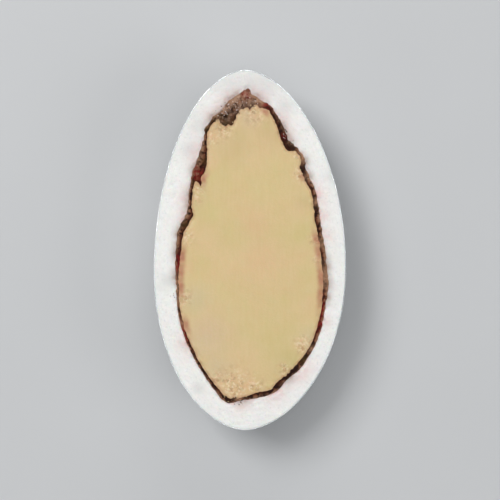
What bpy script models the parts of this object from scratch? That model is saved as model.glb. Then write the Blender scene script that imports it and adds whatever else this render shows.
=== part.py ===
"""Half of a silver-coated sugared almond, cut lengthwise through the middle of its thickness.

It lies on its rounded back with the cut face up. From the outside in it is a silver coat, a white
sugar shell, the almond's brown skin and its cream kernel. Metres, +Z up, +Y towards the pointed tip.
The origin is under the middle of the sweet, at the small flat spot that it rests on.
"""

import math

import bmesh
import bpy
import numpy as np

MM = 0.001

# The sweet as cut: its outline at the cut face, and the height of that face over its resting spot
LENGTH = 30.0 * MM
WIDTH = 16.0 * MM
HEIGHT = 6.0 * MM
WIDEST_FROM_TIP = 0.557  # share of the length
SWEET_FULLNESS = 1.1  # power of the cosine across the outline; 1.0 is an ellipse
BOW = 0.4 * MM  # how far both ends curve to the left of the middle

# Its layers
SILVER = 0.12 * MM
SKIN = 0.3 * MM
GAP = 0.05 * MM  # left between neighbours, so that no two solids touch
FLAT_SPOT = 0.09 * MM  # how much of the round back the resting spot takes off

# The kernel at the cut face
KERNEL_TIP_Y = 12.2 * MM
KERNEL_BLUNT_Y = -12.15 * MM
KERNEL_WIDEST_Y = -4.7 * MM
KERNEL_HALF_WIDTH = 6.15 * MM
KERNEL_DEPTH = 3.9 * MM
KERNEL_TAPER = 1.76  # power of the way to either end; 2.0 is an ellipse
KERNEL_FULLNESS = 0.52  # power of what is left; 0.5 is an ellipse

# Where the kernel's edge swells or is dented at the cut: x, y, radius and height, in millimetres
KERNEL_NICKS_MM = (
    (-3.4, 10.1, 1.0, 0.7),  # shoulder left of the tip
    (-1.9, 11.1, 0.65, -0.95),  # bay under the crumbled cap
    (-4.2, 6.3, 1.25, -0.95),  # hollow on the left
    (-5.15, 2.9, 1.1, -0.7),  # smaller hollow under it
    (4.6, 6.4, 2.9, 0.25),  # fuller shoulder on the right
    (2.75, 9.2, 1.35, -0.85),  # ledge on the right
    (-1.3, -12.25, 0.9, 0.85),  # point at the blunt end
    (-5.3, -8.1, 3.0, -0.65),  # flatter side beside it
)
# Where the skin is crumpled and thicker: x, y, radius and extra thickness, in millimetres
SKIN_FOLDS_MM = (
    (-0.1, 12.7, 0.8, 1.05),  # crumbled cap over the tip
    (-2.0, 11.2, 0.75, 1.1),  # its tail in the bay
    (-4.3, 6.5, 0.8, 0.85),  # wad in the left hollow
    (2.3, 9.2, 1.4, 0.5),  # fold at the right ledge
)

# The ragged edge: waves round the outline with seeded phases, from the first count to the last
RAGGED_WAVES = (13, 47, 2)
RAGGED_HEIGHT = 0.045 * MM
CALM = 0.75  # how much of that height the blunt end lacks
RIM_WAVES = (17, 61, 3)
RIM_HEIGHT = 0.03 * MM
RAGGED_SEED = 7
RIM_SEED = 11

# How round the back is: 2.0 is an ellipse, more is squarer
BACK_ROUNDNESS = 2.3

# Facets round the outline and from the cut face down to the lowest point
SMOOTH_FACETS = (72, 11)
RAGGED_FACETS = (144, 6)
CUTTER_RISE = 1.0 * MM  # how far a cutter stands out of the cut face
EQUATOR = 1e-4  # heights in the unit sphere up to which a point lies on its equator
SHARP_ANGLE = math.radians(40)  # edges over this angle, such as the cut's, aren't smoothed

# Colour, roughness and metallic value of each layer
FINISHES = {
    "silver_leaf": ((0.78, 0.80, 0.81), 0.15, 1.0),
    "white_sugar": ((0.82, 0.81, 0.78), 0.55, 0.0),
    "brown_skin": ((0.11, 0.030, 0.015), 0.6, 0.0),
    "cream_kernel": ((0.68, 0.51, 0.27), 0.5, 0.0),
}

TIP_Y = LENGTH / 2
BLUNT_Y = -LENGTH / 2
WIDEST_Y = TIP_Y - WIDEST_FROM_TIP * LENGTH
BACK_DEPTH = HEIGHT + FLAT_SPOT


def clear_scene():
    """Removes every object of the startup scene."""
    for obj in list(bpy.data.objects):
        bpy.data.objects.remove(obj, do_unlink=True)


def new_collection(name):
    """A collection in the scene."""
    collection = bpy.data.collections.new(name)
    bpy.context.scene.collection.children.link(collection)
    return collection


def material(name):
    """A Principled material with the values of one finish."""
    colour, roughness, metallic = FINISHES[name]
    made = bpy.data.materials.new(name)
    made.use_nodes = True
    shader = made.node_tree.nodes["Principled BSDF"]
    shader.inputs["Base Color"].default_value = (*colour, 1.0)
    shader.inputs["Roughness"].default_value = roughness
    shader.inputs["Metallic"].default_value = metallic
    made.diffuse_color = (*colour, 1.0)
    return made


def angles(facets):
    """Evenly spaced angles round the outline, from +X and against the clock."""
    return np.arange(facets) * (2 * math.pi / facets)


def outward(outline):
    """The unit vectors that point out of a closed outline, one for each of its points."""
    along = np.roll(outline, -1, axis=0) - np.roll(outline, 1, axis=0)
    out = np.column_stack((along[:, 1], -along[:, 0]))
    return out / np.linalg.norm(out, axis=1, keepdims=True)


def waves(turn, counts, height, seed):
    """A ragged height round the outline: sine waves that grow lower as they get finer."""
    phases = np.random.default_rng(seed)
    total = np.zeros_like(turn)
    for count in range(*counts):
        size = height * math.sqrt(counts[0] / count)
        total += size * np.sin(count * turn + phases.uniform(0, 2 * math.pi))
    return total


def bumps(outline, places_mm):
    """The sum of round bumps at the given places, each fading out over its radius."""
    total = np.zeros(len(outline))
    for x, y, radius, height in places_mm:
        away = np.linalg.norm(outline - np.array((x, y)) * MM, axis=1)
        total += height * MM * np.exp(-((away / (radius * MM)) ** 2))
    return total


def sweet_outline(facets, inset=0.0):
    """The smooth outline of the sweet, or of a layer that lies that far inside it."""
    turn = angles(facets)
    rise = np.sin(turn)
    reach = np.where(rise > 0, TIP_Y - WIDEST_Y, WIDEST_Y - BLUNT_Y) - inset
    y = WIDEST_Y + reach * rise
    across = np.sign(np.cos(turn)) * np.abs(np.cos(turn)) ** SWEET_FULLNESS
    return np.column_stack(((WIDTH / 2 - inset) * across - BOW * (y / TIP_Y) ** 2, y))


def kernel_outline(facets, outset=0.0, with_skin=False):
    """The ragged outline of the kernel, moved outwards, with or without its skin around it."""
    turn = angles(facets)
    rise = np.sin(turn)
    reach = np.where(rise > 0, KERNEL_TIP_Y - KERNEL_WIDEST_Y, KERNEL_WIDEST_Y - KERNEL_BLUNT_Y)
    left_over = np.clip(1 - np.abs(rise) ** KERNEL_TAPER, 0, 1)
    across = np.sign(np.cos(turn)) * left_over**KERNEL_FULLNESS
    smooth = np.column_stack((KERNEL_HALF_WIDTH * across, KERNEL_WIDEST_Y + reach * rise))
    height = outset + bumps(smooth, KERNEL_NICKS_MM)
    calmer = 1 - CALM * (1 - rise) / 2
    height += calmer * waves(turn, RAGGED_WAVES, RAGGED_HEIGHT, RAGGED_SEED)
    if with_skin:
        height += SKIN + bumps(smooth, SKIN_FOLDS_MM)
    return smooth + outward(smooth) * height[:, None]


def half_form(name, outline, rings, depth, lowest=0.0, rim=None, rise=0.0):
    """A closed form that hangs from its outline at the cut face, as the lower half of a sphere does.

    The lower half of a UV sphere is drawn out to the outline and down to the depth, along a
    superellipse, and kept above the lowest height. rim lifts each point of its edge, and rise
    carries the edge straight up, as a cutter needs.
    """
    facets = len(outline)
    middle = np.array((0.0, WIDEST_Y))
    bm = bmesh.new()
    bmesh.ops.create_uvsphere(bm, u_segments=facets, v_segments=2 * rings, radius=1.0)
    upper = [v for v in bm.verts if v.co.z > EQUATOR]
    bmesh.ops.delete(bm, geom=upper, context="VERTS")
    for v in bm.verts:
        index = round(math.atan2(v.co.y, v.co.x) / (2 * math.pi) * facets) % facets
        shrink = math.hypot(v.co.x, v.co.y) ** (2 / BACK_ROUNDNESS)
        fall = max(0.0, -v.co.z) ** (2 / BACK_ROUNDNESS)
        x, y = middle + (outline[index] - middle) * shrink
        z = max(lowest, HEIGHT - depth * fall)
        if rim is not None and v.is_boundary:
            z += rim[index]
        v.co = (x, y, z)
    edge = [e for e in bm.edges if e.is_boundary]
    if rise:
        raised = bmesh.ops.extrude_edge_only(bm, edges=edge)["geom"]
        lifted = [g for g in raised if isinstance(g, bmesh.types.BMVert)]
        bmesh.ops.translate(bm, verts=lifted, vec=(0, 0, rise))
        edge = [e for e in bm.edges if e.is_boundary]
    lid = bmesh.ops.contextual_create(bm, geom=edge)["faces"]
    if rim is not None:
        bmesh.ops.poke(bm, faces=lid)
    bmesh.ops.recalc_face_normals(bm, faces=bm.faces)
    mesh = bpy.data.meshes.new(name)
    bm.to_mesh(mesh)
    bm.free()
    return mesh


def add_part(collection, mesh, finish):
    """A visible layer of the sweet, smooth apart from its cut edges."""
    obj = bpy.data.objects.new(mesh.name, mesh)
    collection.objects.link(obj)
    mesh.materials.append(finish)
    mesh.shade_smooth()
    mesh.set_sharp_from_angle(angle=SHARP_ANGLE)
    return obj


def hollow(obj, cutters, mesh):
    """Cuts the form of the next layer in out of a layer."""
    cutter = bpy.data.objects.new(mesh.name, mesh)
    cutters.objects.link(cutter)
    cutter.display_type = "WIRE"
    cutter.hide_render = True
    cut = obj.modifiers.new("hollow", "BOOLEAN")
    cut.operation = "DIFFERENCE"
    cut.solver = "EXACT"
    cut.object = cutter


def silver_coat(parts, cutters):
    """The thin silver coat on the outside of the sugar."""
    facets, rings = SMOOTH_FACETS
    form = half_form("silver_coat", sweet_outline(facets), rings, BACK_DEPTH)
    coat = add_part(parts, form, material("silver_leaf"))
    inside = half_form("silver_coat_inside", sweet_outline(facets, SILVER), rings,
                       BACK_DEPTH - SILVER, lowest=SILVER, rise=CUTTER_RISE)
    hollow(coat, cutters, inside)


def sugar_shell(parts, cutters):
    """The thick white shell of sugar, hollowed for the almond in its skin."""
    facets, rings = SMOOTH_FACETS
    inset = SILVER + GAP
    form = half_form("sugar_shell", sweet_outline(facets, inset), rings, BACK_DEPTH - inset,
                     lowest=inset)
    shell = add_part(parts, form, material("white_sugar"))
    facets, rings = RAGGED_FACETS
    room = 2 * GAP
    inside = half_form("sugar_shell_inside", kernel_outline(facets, room, with_skin=True), rings,
                       KERNEL_DEPTH + SKIN + room, rise=CUTTER_RISE)
    hollow(shell, cutters, inside)


def almond_skin(parts, cutters):
    """The brown skin round the kernel, with a crinkled edge at the cut."""
    facets, rings = RAGGED_FACETS
    crinkle = waves(angles(facets), RIM_WAVES, RIM_HEIGHT, RIM_SEED)
    form = half_form("almond_skin", kernel_outline(facets, GAP, with_skin=True), rings,
                     KERNEL_DEPTH + SKIN + GAP, rim=crinkle)
    skin = add_part(parts, form, material("brown_skin"))
    inside = half_form("almond_skin_inside", kernel_outline(facets, GAP), rings,
                       KERNEL_DEPTH + GAP, rise=CUTTER_RISE)
    hollow(skin, cutters, inside)


def almond_kernel(parts):
    """The cream kernel, flat where it is cut."""
    facets, rings = RAGGED_FACETS
    form = half_form("almond_kernel", kernel_outline(facets), rings, KERNEL_DEPTH)
    add_part(parts, form, material("cream_kernel"))


def build():
    """Builds the half sweet from the outside in."""
    clear_scene()
    parts = new_collection("sugared_almond_half")
    cutters = new_collection("cutters")
    silver_coat(parts, cutters)
    sugar_shell(parts, cutters)
    almond_skin(parts, cutters)
    almond_kernel(parts)


build()
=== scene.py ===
import itertools
import math

import bpy
import numpy as np
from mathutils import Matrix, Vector


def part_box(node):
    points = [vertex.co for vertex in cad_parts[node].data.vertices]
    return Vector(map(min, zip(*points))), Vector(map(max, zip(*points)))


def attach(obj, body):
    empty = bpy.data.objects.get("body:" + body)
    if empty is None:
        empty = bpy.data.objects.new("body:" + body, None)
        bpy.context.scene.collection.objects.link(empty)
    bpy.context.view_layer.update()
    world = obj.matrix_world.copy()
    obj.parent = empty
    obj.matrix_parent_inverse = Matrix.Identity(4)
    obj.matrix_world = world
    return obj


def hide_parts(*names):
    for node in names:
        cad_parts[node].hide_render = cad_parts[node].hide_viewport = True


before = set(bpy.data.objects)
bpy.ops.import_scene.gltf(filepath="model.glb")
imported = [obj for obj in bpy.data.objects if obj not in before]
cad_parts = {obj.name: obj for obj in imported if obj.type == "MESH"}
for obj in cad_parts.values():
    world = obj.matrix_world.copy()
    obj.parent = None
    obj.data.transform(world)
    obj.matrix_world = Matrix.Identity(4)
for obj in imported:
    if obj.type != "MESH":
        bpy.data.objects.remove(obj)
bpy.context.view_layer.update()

# The half of a silver-coated sugared almond, dressed over its solids.
# Every layer hangs from its outline at the cut face, as a bowl does.

mm = 0.001
coatLow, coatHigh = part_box("silver_coat")
cutZ = coatHigh.z  # height of the cut face

sweet = {
    "tipY": coatHigh.y,
    "bluntY": coatLow.y,
    "halfWidth": (coatHigh.x - coatLow.x) / 2,
    "widestFromTip": 0.557,  # share of the length
    "fullness": 1.1,  # power of the cosine across the outline
    "bow": 0.4 * mm,  # how far both ends curve to the left
    "backRoundness": 2.3,  # 2 is an ellipse, more is squarer
    "flatSpot": 0.09 * mm,  # how much of the round back is flattened
    "columns": 720,  # points round the outline
    "nearColumns": 14,  # looked through on either side for an outline's nearest point
    "sharpAngle": 60,  # degrees: blunter edges are shaded smooth
}
middle = np.array((0.0, sweet["tipY"] - sweet["widestFromTip"] * (sweet["tipY"] - sweet["bluntY"])))
turn = np.arange(sweet["columns"]) * (2 * math.pi / sweet["columns"])


# Noise on whole arrays

def latticeHeight(cell, seed):
    # a fixed random height, -1 to 1, for each lattice point: the broken part of a large sine
    mixed = cell @ np.array((127.1, 311.7, 74.7))[: cell.shape[-1]] + 53.3 * seed
    wave = np.sin(mixed) * 43758.5453
    return 2 * (wave - np.floor(wave)) - 1


def softNoise(points, size, seed):
    # heights of the lattice corners round a point, blended by smooth steps of where it lies between them
    place = points / size
    cell = np.floor(place)
    along = place - cell
    along = along * along * (3 - 2 * along)
    total = np.zeros(points.shape[:-1])
    for corner in itertools.product((0.0, 1.0), repeat=points.shape[-1]):
        share = np.prod(np.where(np.array(corner) > 0, along, 1 - along), axis=-1)
        total += share * latticeHeight(cell + corner, seed)
    return total


def roughNoise(points, size, seed, layers=3):
    # soft noise, plus finer and lower copies of itself, each half the size and height of the last
    return sum(softNoise(points, size / 2**i, seed + 17 * i) / 2**i for i in range(layers))


def smoothStep(low, high, value):
    # 0 below low, 1 above high, and a smooth S between them
    share = np.clip((value - low) / (high - low), 0, 1)
    return share * share * (3 - 2 * share)


def nearPlaces(points, places):
    # 1 at each place, fading out as a bell over its radius; places are x, y, radius in mm
    total = np.zeros(points.shape[:-1])
    for x, y, radius in places:
        away = np.linalg.norm(points[..., :2] - np.array((x, y)) * mm, axis=-1)
        total = np.maximum(total, np.exp(-((away / (radius * mm)) ** 2)))
    return total


# Outlines at the cut face

tracing = {
    "steps": 40,  # of the curve between two corners
    "samples": 4096,  # points set out evenly round it
    "softReach": 1.4 * mm,  # of the average that makes its smooth copy
    "patchSize": 1.9 * mm,  # of its rougher and calmer stretches
    "coarseSize": 0.5 * mm,  # of the broad raggedness
    "fineSize": 0.2 * mm,  # of the small tears
}


def outwardOf(outline):
    # unit vectors at right angles to the chord between each point's neighbours
    chord = np.roll(outline, -1, axis=0) - np.roll(outline, 1, axis=0)
    out = np.column_stack((chord[:, 1], -chord[:, 0]))
    return out / np.linalg.norm(out, axis=1, keepdims=True)


def sweetOutline(inset):
    # x = half width * cos^fullness, y = reach * sin from the widest place, the ends bent left by bow * y^2
    rise = np.sin(turn)
    reach = np.where(rise > 0, sweet["tipY"] - middle[1], middle[1] - sweet["bluntY"]) - inset
    y = middle[1] + reach * rise
    across = np.sign(np.cos(turn)) * np.abs(np.cos(turn)) ** sweet["fullness"]
    x = (sweet["halfWidth"] - inset) * across - sweet["bow"] * (y / sweet["tipY"]) ** 2
    return np.column_stack((x, y))


def closedCurve(corners):
    # cubic pieces through the corners, each with the slope of a parabola through it and its neighbours
    start = np.array(corners) * mm
    end = np.roll(start, -1, axis=0)
    gap = np.sqrt(np.linalg.norm(end - start, axis=1))[:, None]
    step = (end - start) / gap
    gapBefore = np.roll(gap, 1, axis=0)
    slope = (step * gapBefore + np.roll(step, 1, axis=0) * gap) / (gap + gapBefore)
    t = np.linspace(0, 1, tracing["steps"], endpoint=False)[:, None, None]
    curve = (2 * t**3 - 3 * t**2 + 1) * start + (t**3 - 2 * t**2 + t) * gap * slope
    curve += (3 * t**2 - 2 * t**3) * end + (t**3 - t**2) * gap * np.roll(slope, -1, axis=0)
    return curve.transpose(1, 0, 2).reshape(-1, 2)


def evenly(curve, count):
    # the closed curve set out again at even steps of its length
    closed = np.vstack((curve, curve[:1]))
    length = np.concatenate(((0,), np.cumsum(np.linalg.norm(np.diff(closed, axis=0), axis=1))))
    steps = np.linspace(0, length[-1], count, endpoint=False)
    return np.column_stack([np.interp(steps, length, closed[:, axis]) for axis in (0, 1)]), length[-1]


def softened(curve, length, reach):
    # each point averaged with its neighbours under a bell of the given reach
    tone = np.fft.fftfreq(len(curve), length / len(curve))[:, None]
    kept = np.exp(-2 * (math.pi * tone * reach) ** 2)
    return np.real(np.fft.ifft(np.fft.fft(curve, axis=0) * kept, axis=0))


def tracedOutline(layer):
    # for each column the point of the curve that lies in its direction, roughened, and its softened copy
    ragged = layer["ragged"]
    seed = layer["seed"]
    curve, length = evenly(closedCurve(layer["edge"]), tracing["samples"])
    soft = softened(curve, length, tracing["softReach"])
    offset = soft - middle
    reach = np.where(offset[:, 1] > 0, sweet["tipY"] - middle[1], middle[1] - sweet["bluntY"])
    angle = np.unwrap(np.arctan2(offset[:, 1] / reach, offset[:, 0] / sweet["halfWidth"]))
    angle = np.append(angle, angle[0] + 2 * math.pi)
    place = np.interp((turn - angle[0]) % (2 * math.pi) + angle[0], angle, np.arange(len(angle)))
    outline, smooth = (
        np.column_stack([np.interp(place, np.arange(len(angle)), np.append(c[:, axis], c[0, axis]))
                         for axis in (0, 1)])
        for c in (curve, soft)
    )
    # broad raggedness comes and goes in patches, small tears are highest at the torn places
    # the blunt half is the calmer one
    calm = 0.45 + 0.55 * smoothStep(-9 * mm, 6 * mm, outline[:, 1])
    patchy = 0.5 + 0.5 * smoothStep(-0.4, 0.4, softNoise(outline, tracing["patchSize"], seed + 5))
    height = ragged * calm * patchy * roughNoise(outline, tracing["coarseSize"], seed, 2)
    torn = 0.6 * calm + 1.1 * nearPlaces(outline, layer["tornPlaces"])
    height += ragged * torn * softNoise(outline, tracing["fineSize"], seed + 3)
    return outline + outwardOf(outline) * height[:, None], smooth


def keptApart(inner, smooth, outer, least):
    # the outer outline pushed out wherever it comes nearer to the inner one than the least gap
    out = outwardOf(smooth)
    gap = np.sum((outer - inner) * out, axis=1)
    return outer + out * np.maximum(0, least - gap)[:, None]


def distanceTo(outline, points):
    # the least distance from each point to those of the outline in its own column and the ones beside it
    shifts = range(-sweet["nearColumns"], sweet["nearColumns"] + 1)
    return np.min([np.linalg.norm(points - np.roll(outline, i, axis=0), axis=-1) for i in shifts], axis=0)


# "edge" is the outline at the cut face, x and y in mm, anticlockwise from the tip
# "tornPlaces" are x, y, radius in mm
almond = {
    "depth": 3.9 * mm,  # of the kernel
    "ragged": 0.085 * mm,
    "seed": 4,
    "tornPlaces": (
        (0.2, 11.8, 1.1), (-1.9, 10.3, 0.4), (4.2, 7.9, 0.6), (4.4, 6.3, 0.6), (2.9, -10.2, 0.7),
        (-1.4, -12.3, 0.7), (5.6, 0.6, 0.7),
    ),
    "edge": (
        (0.4, 12.0), (0.1, 11.85), (-0.05, 11.65), (-0.2, 11.8), (-0.5, 11.85), (-0.8, 11.65),
        (-1.05, 11.3), (-1.35, 10.75), (-1.6, 10.5), (-2.1, 10.45), (-2.45, 10.6), (-2.6, 10.9),
        (-2.9, 10.75), (-3.3, 10.3), (-3.55, 9.8), (-3.6, 8.8), (-3.55, 7.8), (-3.65, 7.0), (-3.88, 6.4),
        (-4.05, 5.8), (-4.12, 5.3), (-4.3, 5.55), (-4.55, 5.7), (-4.7, 5.35), (-4.85, 4.5), (-4.88, 3.6),
        (-4.75, 2.9), (-5.0, 2.35), (-5.2, 2.0), (-5.5, 1.5), (-5.65, 0.9), (-5.7, 0.3), (-5.95, -2.0),
        (-5.88, -4.4), (-5.55, -6.15), (-4.87, -8.0), (-3.85, -9.95), (-2.1, -12.15), (-1.6, -12.35),
        (-1.05, -12.35), (-0.25, -12.2), (0.6, -11.85), (1.25, -11.8), (1.8, -11.6), (2.2, -11.1),
        (3.15, -10.35), (3.9, -9.45), (4.35, -8.95), (4.65, -8.55), (5.3, -7.35), (5.95, -4.9),
        (6.1, -2.45), (5.8, 0.45), (5.55, 1.7), (5.3, 3.7), (5.05, 5.1), (4.6, 5.8), (4.25, 6.5),
        (4.18, 7.4), (4.0, 8.05), (3.75, 8.25), (3.3, 8.2), (2.95, 8.5), (2.6, 9.15), (2.4, 9.85),
        (2.15, 10.4), (1.72, 11.4), (1.34, 11.76), (0.85, 11.85),
    ),
}
sheath = {
    "under": 0.25 * mm,  # its thickness under the kernel
    "thinnest": 0.09 * mm,  # at the cut
    "ragged": 0.08 * mm,
    "seed": 9,
    "tornPlaces": (),
    "edge": (
        (-0.15, 13.45), (-0.5, 13.25), (-1.3, 12.8), (-1.9, 12.35), (-2.3, 11.9), (-2.65, 11.45),
        (-3.15, 11.1), (-3.45, 10.6), (-3.7, 10.15), (-3.82, 9.6), (-3.97, 9.0), (-4.08, 8.45),
        (-4.24, 7.95), (-4.38, 7.5), (-4.55, 7.1), (-4.75, 6.6), (-4.92, 5.9), (-5.12, 4.4), (-5.2, 3.5),
        (-5.33, 2.95), (-5.6, 2.45), (-5.85, 2.0), (-6.05, 1.4), (-6.12, 0.5), (-6.25, -1.4), (-6.17, -2.6),
        (-6.13, -3.5), (-6.05, -4.6), (-5.75, -6.4), (-4.7, -8.95), (-3.32, -11.2), (-2.2, -12.55),
        (-1.7, -12.8), (-1.4, -12.75), (-1.05, -12.6), (0.55, -12.35), (1.8, -12.0), (2.4, -11.6),
        (3.05, -10.85), (4.0, -10.1), (4.65, -9.25), (5.25, -8.3), (5.75, -7.15), (6.05, -6.1), (6.4, -4.0),
        (6.55, -2.7), (6.3, -0.4), (6.1, 1.2), (5.85, 2.4), (5.6, 4.3), (5.35, 5.3), (5.0, 6.05),
        (4.65, 6.8), (4.6, 7.6), (4.15, 8.2), (3.87, 8.55), (3.6, 8.7), (3.4, 9.0), (3.1, 9.35),
        (2.88, 9.9), (2.6, 10.6), (2.3, 11.2), (1.92, 11.8), (1.48, 12.2), (0.85, 12.5), (0.4, 12.8),
        (0.1, 13.1),
    ),
}
kernelEdge, kernelSmooth = tracedOutline(almond)
skinEdge, skinSmooth = tracedOutline(sheath)
skinEdge = keptApart(kernelEdge, kernelSmooth, skinEdge, sheath["thinnest"])
skinWidth = np.linalg.norm(skinEdge - kernelEdge, axis=1)
print("edges traced in", sweet["columns"], "columns")


# Surfaces carried round the outline

def nested(smooth, outline, share):
    # copies of the smooth outline shrunk to a share of its size, with the nicks fading by share^4
    return middle + (smooth - middle) * share + (outline - smooth) * share**4


def bowlRows(outline, depth, angles, lowest=0.0, smooth=None):
    # superellipse: shrink = cos^(2/p) towards the middle, drop = depth * sin^(2/p) below the cut
    power = 2 / sweet["backRoundness"]
    shrink = np.abs(np.cos(angles))[:, None, None] ** power
    flat = nested(outline if smooth is None else smooth, outline, shrink)
    drop = depth * np.sin(angles) ** power
    height = np.maximum(lowest, cutZ - drop)[:, None] * np.ones(len(outline))
    return np.dstack((flat, height))


def acrossRows(inner, outer, shares):
    # straight lines at the cut height from the inner to the outer outline
    share = np.asarray(shares)[:, None, None]
    flat = inner * (1 - share) + outer * share
    return np.dstack((flat, np.full(flat.shape[:2], cutZ)))


def poledFaces(rowCount, columns):
    # quads between neighbouring rows, and triangles from each pole to the row beside it
    here = 1 + np.arange(rowCount * columns).reshape(-1, columns)
    there = np.roll(here, -1, axis=1)
    quads = np.stack((here[:-1], there[:-1], there[1:], here[1:]), axis=-1).reshape(-1, 4)
    first = np.stack((np.zeros(columns, int), there[0], here[0]), axis=-1)
    last = np.stack((np.full(columns, here[-1, -1] + 1), here[-1], there[-1]), axis=-1)
    return quads, first, last


def closedSurface(name, rows):
    # rows of points join into a closed skin; the first and last row are one point each, the poles
    points = np.vstack((rows[0, :1], rows[1:-1].reshape(-1, 3), rows[-1, :1]))
    faces = sum((part.tolist() for part in poledFaces(len(rows) - 2, rows.shape[1])), [])
    mesh = bpy.data.meshes.new(name)
    mesh.from_pydata(points.tolist(), [], faces)
    mesh.validate()
    faceOutwards(mesh)
    mesh.shade_smooth()
    mesh.set_sharp_from_angle(angle=math.radians(sweet["sharpAngle"]))
    return linked(name, mesh)


def linked(name, mesh):
    # an object for the mesh, in the scene
    piece = bpy.data.objects.new(name, mesh)
    bpy.context.scene.collection.objects.link(piece)
    return piece


def faceOutwards(mesh):
    # the volumes between the origin and each face add up to less than nothing on an inside-out shape
    normals = np.empty(len(mesh.polygons) * 3)
    centres = np.empty(len(mesh.polygons) * 3)
    areas = np.empty(len(mesh.polygons))
    mesh.polygons.foreach_get("normal", normals)
    mesh.polygons.foreach_get("center", centres)
    mesh.polygons.foreach_get("area", areas)
    volume = np.sum(areas * np.sum(normals.reshape(-1, 3) * centres.reshape(-1, 3), axis=1))
    if volume < 0:
        mesh.flip_normals()


def paintValues(piece, name, values):
    # one number for each point
    layer = piece.data.attributes.new(name, "FLOAT", "POINT")
    layer.data.foreach_set("value", np.asarray(values, np.float32).ravel())


def poled(rows):
    # values on rows, in the order of the points of closedSurface
    return np.concatenate((rows[0, :1], rows[1:-1].ravel(), rows[-1, :1]))


def paintPlaces(piece, rows, kinds):
    # for each kind of place, a value that fades out round each of them
    for name, places in kinds.items():
        paintValues(piece, name, poled(nearPlaces(rows, places)))


def ringed(name, inside, cut, outside, shares):
    # an inner bowl, a ring across the cut and an outer bowl
    # the value "across" is 0 on the first, the share of the way over the ring, and 1 on the last
    rows = np.concatenate((inside, cut, outside))
    piece = closedSurface(name, rows)
    across = np.concatenate((np.zeros(len(inside)), shares, np.ones(len(outside))))
    paintValues(piece, "across", poled(across[:, None] * np.ones(rows.shape[1])))
    return piece, rows


def dress(piece, node, material):
    # a piece's material, the body that it rides on and the node that it replaces
    piece.data.materials.append(material)
    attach(piece, "root")
    if node:
        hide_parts(node)
    print(piece.name, len(piece.data.polygons), "faces")
    return piece


# Shader node groups and materials

def put(tree, kind, inputs, **settings):
    # a new node, returned by its outputs; an input that is a socket is linked, any other is set
    node = tree.nodes.new("ShaderNode" + kind)
    for key, value in settings.items():
        setattr(node, key, value)
    for key, value in inputs.items():
        if isinstance(value, bpy.types.NodeSocket):
            tree.links.new(value, node.inputs[key])
        else:
            node.inputs[key].default_value = value
    return node.outputs


def calc(tree, operation, a, b=0.0):
    # one step of arithmetic
    return put(tree, "Math", {0: a, 1: b}, operation=operation)[0]


def times(tree, a, b):
    # the product
    return calc(tree, "MULTIPLY", a, b)


def blend(tree, factor, a, b):
    # a colour between a and b
    return put(tree, "Mix", {0: factor, 6: a, 7: b}, data_type="RGBA")[2]


def tint(tree, colour, mask, strength, other):
    # a colour moved towards another by mask * strength
    return blend(tree, times(tree, mask, strength), colour, other)


def between(tree, value, low, high, toLow=0.0, toHigh=1.0):
    # maps low..high to toLow..toHigh along a smooth S
    inputs = {0: value, 1: low, 2: high, 3: toLow, 4: toHigh}
    return put(tree, "MapRange", inputs, interpolation_type="SMOOTHSTEP")[0]


def newGroup(name, values, outputs):
    # a group with the input Vector, number inputs with their values, and number outputs
    group = bpy.data.node_groups.new(name, "ShaderNodeTree")
    group.interface.new_socket("Vector", in_out="INPUT", socket_type="NodeSocketVector")
    for key, value in values.items():
        socket = group.interface.new_socket(key, in_out="INPUT", socket_type="NodeSocketFloat")
        socket.default_value = value
    for key in outputs:
        group.interface.new_socket(key, in_out="OUTPUT", socket_type="NodeSocketFloat")
    return group, group.nodes.new("NodeGroupInput").outputs, group.nodes.new("NodeGroupOutput").inputs


def noiseOf(tree, where, scale, detail, roughness=0.5):
    # plain noise, with the scale in cells to the metre
    inputs = {"Vector": where, "Scale": scale, "Detail": detail, "Roughness": roughness}
    return put(tree, "TexNoise", inputs)


def makePatches():
    # soft patches: noise of a given size in metres, spread to 0..1
    values = {"Size": 2 * mm, "Seed": 0.0, "Contrast": 0.2}
    group, given, made = newGroup("soft patches", values, ("Value",))
    scale = calc(group, "DIVIDE", 1.0, given["Size"])
    inputs = {"Vector": given["Vector"], "W": given["Seed"], "Scale": scale,
              "Detail": 3.0, "Roughness": 0.55}
    noise = put(group, "TexNoise", inputs, noise_dimensions="4D")[0]
    low = calc(group, "SUBTRACT", 0.5, given["Contrast"])
    high = calc(group, "ADD", 0.5, given["Contrast"])
    group.links.new(between(group, noise, low, high), made["Value"])
    return group


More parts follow.
